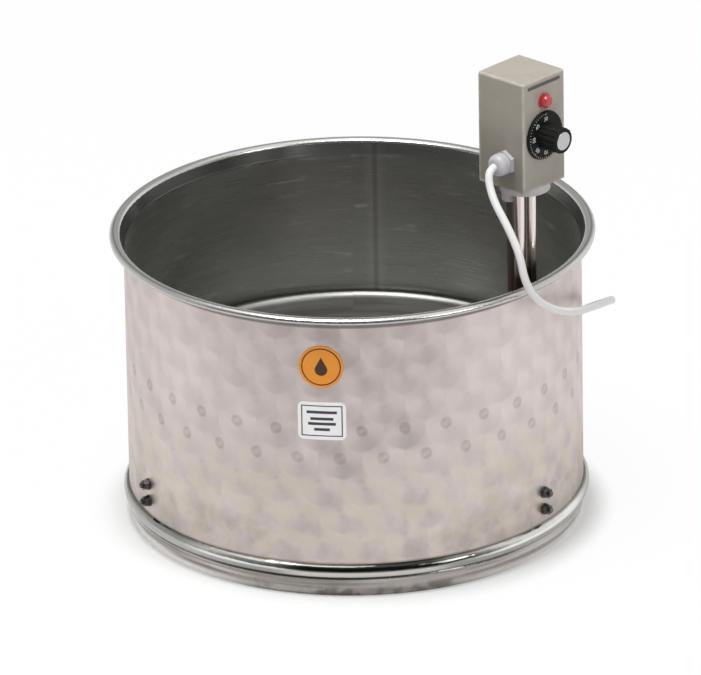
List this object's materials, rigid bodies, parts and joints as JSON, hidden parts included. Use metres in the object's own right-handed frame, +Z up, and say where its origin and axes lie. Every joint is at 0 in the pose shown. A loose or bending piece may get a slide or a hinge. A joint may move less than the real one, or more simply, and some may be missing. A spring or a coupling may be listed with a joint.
{
  "type": "honey liquefier",
  "caption": "Open round stainless vessel on a foot ring, with a lift-out strainer basket and an electric immersion heater with a thermostat head, for melting set honey.",
  "frame": {"origin": "on the ground, under the middle of the vessel", "axes": "+Z up the vessel's axis, -Y towards the front, +X to the right, where the control head stands"},
  "size_m": [0.4195, 0.5239, 0.4185],
  "materials": {
    "marbled_steel": "soft engine-turned stainless sheet",
    "polished_steel": "polished stainless",
    "plain_steel": "satin stainless sheet",
    "fastener_steel": "bright fasteners",
    "element_steel": "drawn stainless tube",
    "contact_brass": "plain",
    "grey_plastic": "matte",
    "head_paint": "warm grey, satin",
    "black_plastic": "satin",
    "dark_rubber": "matte",
    "bright_cap": "spun",
    "red_lens": "clear red, glossy",
    "pale_plastic": "satin",
    "cream_plastic": "matte",
    "white_cord": "satin"
  },
  "bodies": {
    "vessel": {"vessel_shell": "marbled_steel", "foot_ring": "polished_steel", "support_brackets": "plain_steel", "bracket_bolts": "fastener_steel", "bracket_washers": "fastener_steel", "bracket_nuts": "fastener_steel"},
    "strainer": {"strainer_basket": "plain_steel", "strainer_floor": "plain_steel"},
    "knob": {"thermostat_shaft": "fastener_steel", "dial_skirt": "black_plastic", "knob_grip": "black_plastic", "knob_cap": "bright_cap"},
    "heater": {"heating_element": "element_steel", "heater_pins": "contact_brass", "heater_collar": "grey_plastic", "collar_ring_nut": "fastener_steel", "feeler_tube": "black_plastic", "feeler_bulb": "contact_brass", "control_housing": "head_paint", "cover_gasket": "dark_rubber", "back_cover": "head_paint", "cover_screws": "fastener_steel", "thermostat_body": "cream_plastic", "thermostat_nut": "fastener_steel", "lamp_lens": "red_lens", "lamp_body": "pale_plastic", "lamp_nut": "pale_plastic", "gland_body": "pale_plastic", "gland_locknut": "pale_plastic", "gland_seal": "dark_rubber", "gland_nut": "pale_plastic", "cord_inlet": "white_cord", "terminal_block": "cream_plastic", "earth_screw": "contact_brass", "inner_wires": "white_cord", "cord_free": "white_cord", "cord_coil": "white_cord", "cord_tie": "black_plastic", "plug_sleeve": "white_cord", "plug_body": "white_cord", "plug_pins": "fastener_steel"}
  },
  "joints": [
    {"name": "strainer_lift", "type": "slide", "parent": "vessel", "child": "strainer", "axis": [0, 0, 1], "range_m": [0, 0.2]},
    {"name": "heater_lift", "type": "slide", "parent": "strainer", "child": "heater", "axis": [0, 0, 1], "range_m": [0, 0.25]},
    {"name": "thermostat_turn", "type": "hinge", "parent": "heater", "child": "knob", "pos_m": [0.15731, -0.09643, 0.3683], "axis": [-0.7302, 0.6833, 0], "range_deg": [0, 270]}
  ]
}
